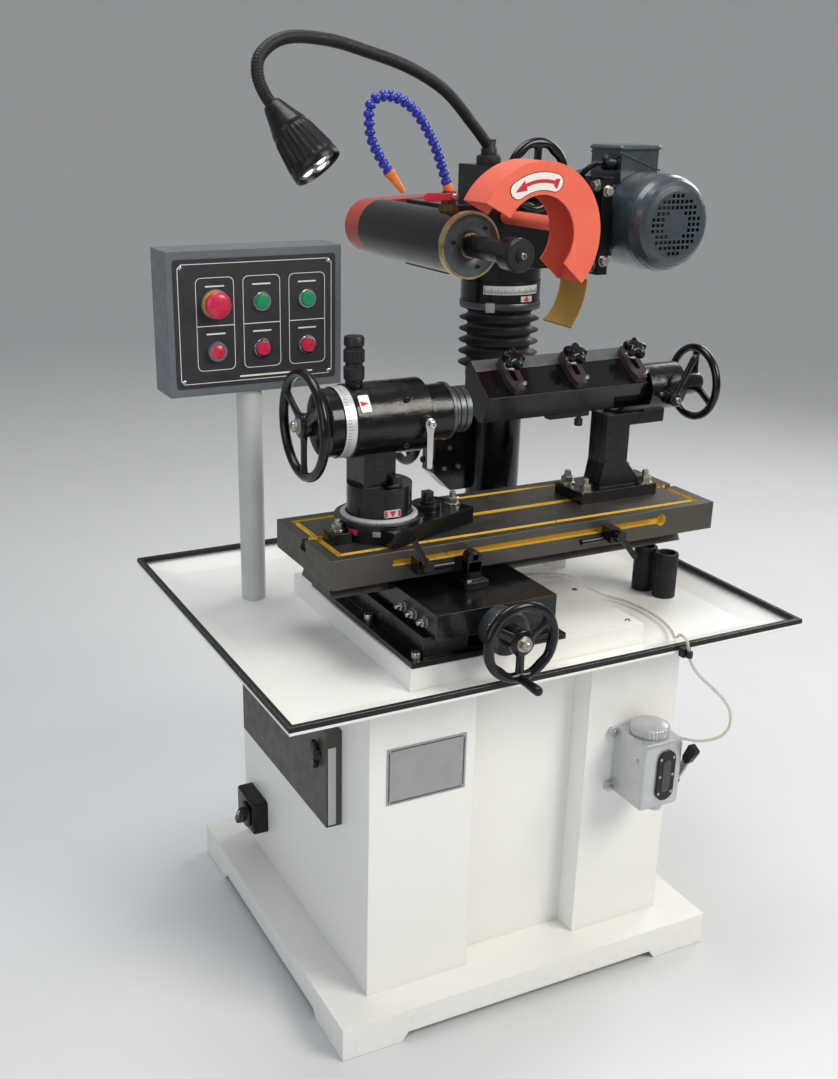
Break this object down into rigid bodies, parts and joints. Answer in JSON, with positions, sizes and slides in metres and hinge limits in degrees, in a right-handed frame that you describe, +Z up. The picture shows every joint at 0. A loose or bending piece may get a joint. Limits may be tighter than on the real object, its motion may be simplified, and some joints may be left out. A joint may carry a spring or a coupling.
{
  "type": "tool and cutter grinder",
  "caption": "Floor-standing tool and cutter grinder with cross slide, T-slot table, indexing workhead, tilting blade bar, belt-driven swivel wheelhead, control box and coolant tray.",
  "frame": {"origin": "centre of the plinth footprint on the floor, which is the centre of the anchor hole pattern", "axes": "+X to the operator's right along the table, +Y from the operator to the back, +Z up"},
  "size_m": [0.8995, 0.753, 1.443],
  "materials": {
    "white_paint": "satin",
    "black_paint": "gloss",
    "table_steel": "ground",
    "bright_steel": "ground",
    "black_plastic": "gloss",
    "clamp_brown": "satin",
    "bellows_rubber": "matt",
    "brass_ring": "satin",
    "red_paint": "satin",
    "motor_grey": "gloss",
    "post_grey": "satin",
    "box_grey": "hammered",
    "red_plastic": "gloss",
    "green_plastic": "gloss",
    "pump_aluminium": "cast",
    "tube_clear": "clear",
    "lamp_black": "matt",
    "hose_blue": "satin"
  },
  "bodies": {
    "base": {"plinth": "white_paint", "cabinet": "white_paint", "tray": "white_paint", "pedestal": "white_paint", "cross_base": "black_paint", "column": "black_paint", "bellows": "bellows_rubber", "control_post": "post_grey", "control_box": "box_grey", "switch_box": "black_plastic", "pump_body": "pump_aluminium", "oil_tube": "tube_clear"},
    "cross_slide": {"saddle": "black_paint", "stop_post": "black_paint"},
    "cross_feed": {"cross_wheel": "black_paint", "cross_screw": "bright_steel"},
    "work_table": {"table": "table_steel", "stop_dogs": "black_paint", "wh_base": "black_paint", "vb_stand": "black_paint"},
    "left_stop_clamp": {"stop_lever_left": "black_plastic"},
    "right_stop_clamp": {"stop_lever_right": "black_plastic"},
    "workhead": {"wh_head": "black_paint"},
    "work_spindle": {"wh_spindle": "bright_steel", "wh_wheel": "black_paint"},
    "index_pin": {"wh_plunger": "black_plastic"},
    "workhead_clamp": {"wh_lever": "bright_steel"},
    "blade_bar": {"vb_bar": "black_paint", "vb_clamps": "clamp_brown", "vb_wheel": "black_paint"},
    "clamp_knob_1": {"star_knob_1": "black_plastic"},
    "clamp_knob_2": {"star_knob_2": "black_plastic"},
    "clamp_knob_3": {"star_knob_3": "black_plastic"},
    "bar_clamp": {"vb_lever": "black_plastic"},
    "column_ram": {"ram": "bright_steel"},
    "elevating_wheel": {"elev_wheel": "black_paint"},
    "wheelhead": {"head": "black_paint", "bearings": "bright_steel", "spindle_cap": "brass_ring", "belt_guard": "red_paint", "belt": "bellows_rubber", "motor": "motor_grey", "fan_cover": "motor_grey", "lamp_neck": "lamp_black", "lamp_head": "lamp_black", "hose": "hose_blue"},
    "grinding_spindle": {"spindle": "bright_steel"},
    "motor_rotor": {"rotor": "bright_steel"},
    "guard": {"wheel_guard": "red_paint"},
    "fine_wheel": {"head_wheel": "black_paint"},
    "coolant_valve": {"valve_lever": "red_plastic"},
    "emergency_stop": {"e_stop": "red_plastic"},
    "push_1": {"button_1": "green_plastic"},
    "push_2": {"button_2": "green_plastic"},
    "push_3": {"button_3": "red_plastic"},
    "push_4": {"button_4": "red_plastic"},
    "electrical_door": {"elec_door": "box_grey"},
    "door_latch": {"door_knob": "black_plastic"},
    "main_switch": {"switch_knob": "black_plastic"},
    "pump_handle": {"pump_lever": "pump_aluminium"}
  },
  "joints": [
    {"name": "cross_travel", "type": "slide", "parent": "base", "child": "cross_slide", "axis": [0, 1, 0], "range_m": [-0.04, 0.05]},
    {"name": "cross_turn", "type": "hinge", "parent": "cross_slide", "child": "cross_feed", "pos_m": [-0.0925, -0.352, 0.661], "axis": [0, 1, 0], "range_deg": [-3000, 3700]},
    {"name": "table_travel", "type": "slide", "parent": "cross_slide", "child": "work_table", "axis": [1, 0, 0], "range_m": [-0.176, 0.012]},
    {"name": "left_stop_turn", "type": "hinge", "parent": "work_table", "child": "left_stop_clamp", "pos_m": [-0.1715, -0.215, 0.73928], "axis": [0, 1, 0], "range_deg": [-50, 60]},
    {"name": "right_stop_turn", "type": "hinge", "parent": "work_table", "child": "right_stop_clamp", "pos_m": [0.1585, -0.215, 0.73928], "axis": [0, 1, 0], "range_deg": [-80, 5]},
    {"name": "workhead_swivel", "type": "hinge", "parent": "work_table", "child": "workhead", "pos_m": [-0.185, -0.097, 0.8], "axis": [0, 0, 1], "range_deg": [-30, 30]},
    {"name": "work_turn", "type": "hinge", "parent": "workhead", "child": "work_spindle", "pos_m": [-0.185, -0.097, 0.927], "axis": [1, 0, 0], "continuous": true},
    {"name": "index_lift", "type": "slide", "parent": "workhead", "child": "index_pin", "axis": [0, 0, 1], "range_m": [0, 0.008], "stiffness_N_per_m": 900, "springref_m": -0.006},
    {"name": "workhead_clamp_turn", "type": "hinge", "parent": "workhead", "child": "workhead_clamp", "pos_m": [-0.137, -0.155, 0.927], "axis": [0, 1, 0], "range_deg": [-70, 70]},
    {"name": "bar_tilt", "type": "hinge", "parent": "work_table", "child": "blade_bar", "pos_m": [0.3, -0.08, 0.925], "axis": [1, 0, 0], "range_deg": [-25, 25]},
    {"name": "knob_1_turn", "type": "hinge", "parent": "blade_bar", "child": "clamp_knob_1", "pos_m": [0.04, -0.0716, 0.96944], "axis": [0, -0.6084, 0.7936], "continuous": true},
    {"name": "knob_2_turn", "type": "hinge", "parent": "blade_bar", "child": "clamp_knob_2", "pos_m": [0.152, -0.0716, 0.96944], "axis": [0, -0.6084, 0.7936], "continuous": true},
    {"name": "knob_3_turn", "type": "hinge", "parent": "blade_bar", "child": "clamp_knob_3", "pos_m": [0.264, -0.0716, 0.96944], "axis": [0, -0.6084, 0.7936], "continuous": true},
    {"name": "bar_clamp_turn", "type": "hinge", "parent": "work_table", "child": "bar_clamp", "pos_m": [0.312, -0.1255, 0.915], "axis": [0, 1, 0], "range_deg": [-60, 25]},
    {"name": "head_lift", "type": "slide", "parent": "base", "child": "column_ram", "axis": [0, 0, 1], "range_m": [-0.01, 0.06], "deforming": ["bellows"]},
    {"name": "elevating_turn", "type": "hinge", "parent": "base", "child": "elevating_wheel", "pos_m": [-0.008, 0.169, 0.831], "axis": [1, 0, 0], "range_deg": [-1000, 5500]},
    {"name": "head_swivel", "type": "hinge", "parent": "column_ram", "child": "wheelhead", "pos_m": [0.157, 0.145, 1.076], "axis": [0, 0, 1], "range_deg": [-30, 30]},
    {"name": "spindle_turn", "type": "hinge", "parent": "wheelhead", "child": "grinding_spindle", "pos_m": [0.005, 0, 1.15], "axis": [0, 1, 0], "continuous": true},
    {"name": "motor_turn", "type": "hinge", "parent": "wheelhead", "child": "motor_rotor", "pos_m": [0.39, 0.1, 1.166], "axis": [0, 1, 0], "continuous": true},
    {"name": "guard_swing", "type": "hinge", "parent": "wheelhead", "child": "guard", "pos_m": [0.125, 0, 1.18], "axis": [0, 1, 0], "range_deg": [-3, 20]},
    {"name": "fine_turn", "type": "hinge", "parent": "wheelhead", "child": "fine_wheel", "pos_m": [0.165, 0.066, 1.242], "axis": [0, 1, 0], "continuous": true},
    {"name": "valve_turn", "type": "hinge", "parent": "wheelhead", "child": "coolant_valve", "pos_m": [0.005, 0.045, 1.216], "axis": [0, 1, 0], "range_deg": [0, 90]},
    {"name": "stop_push", "type": "slide", "parent": "base", "child": "emergency_stop", "axis": [0, 1, 0], "range_m": [0, 0.006], "stiffness_N_per_m": 1200},
    {"name": "push_1_press", "type": "slide", "parent": "base", "child": "push_1", "axis": [0, 1, 0], "range_m": [0, 0.004], "stiffness_N_per_m": 800},
    {"name": "push_2_press", "type": "slide", "parent": "base", "child": "push_2", "axis": [0, 1, 0], "range_m": [0, 0.004], "stiffness_N_per_m": 800},
    {"name": "push_3_press", "type": "slide", "parent": "base", "child": "push_3", "axis": [0, 1, 0], "range_m": [0, 0.004], "stiffness_N_per_m": 800},
    {"name": "push_4_press", "type": "slide", "parent": "base", "child": "push_4", "axis": [0, 1, 0], "range_m": [0, 0.004], "stiffness_N_per_m": 800},
    {"name": "door_swing", "type": "hinge", "parent": "base", "child": "electrical_door", "pos_m": [-0.279, 0.198, 0.393], "axis": [0, 0, -1], "range_deg": [0, 100]},
    {"name": "latch_turn", "type": "hinge", "parent": "electrical_door", "child": "door_latch", "pos_m": [-0.3, -0.132, 0.427], "axis": [1, 0, 0], "range_deg": [0, 90]},
    {"name": "switch_turn", "type": "hinge", "parent": "base", "child": "main_switch", "pos_m": [-0.302, 0.182, 0.145], "axis": [1, 0, 0], "range_deg": [0, 90]},
    {"name": "pump_stroke", "type": "hinge", "parent": "base", "child": "pump_handle", "pos_m": [0.23, -0.308, 0.342], "axis": [1, 0, 0], "range_deg": [0, 55], "stiffness_Nm_per_rad": 0.3, "springref_deg": -20.05}
  ],
  "couplings": [
    {"joint": "cross_turn", "follows": "cross_travel", "rad_per_m": 1256.6},
    {"joint": "elevating_turn", "follows": "head_lift", "rad_per_m": 1570.8},
    {"joint": "spindle_turn", "follows": "motor_turn", "ratio": 1}
  ]
}
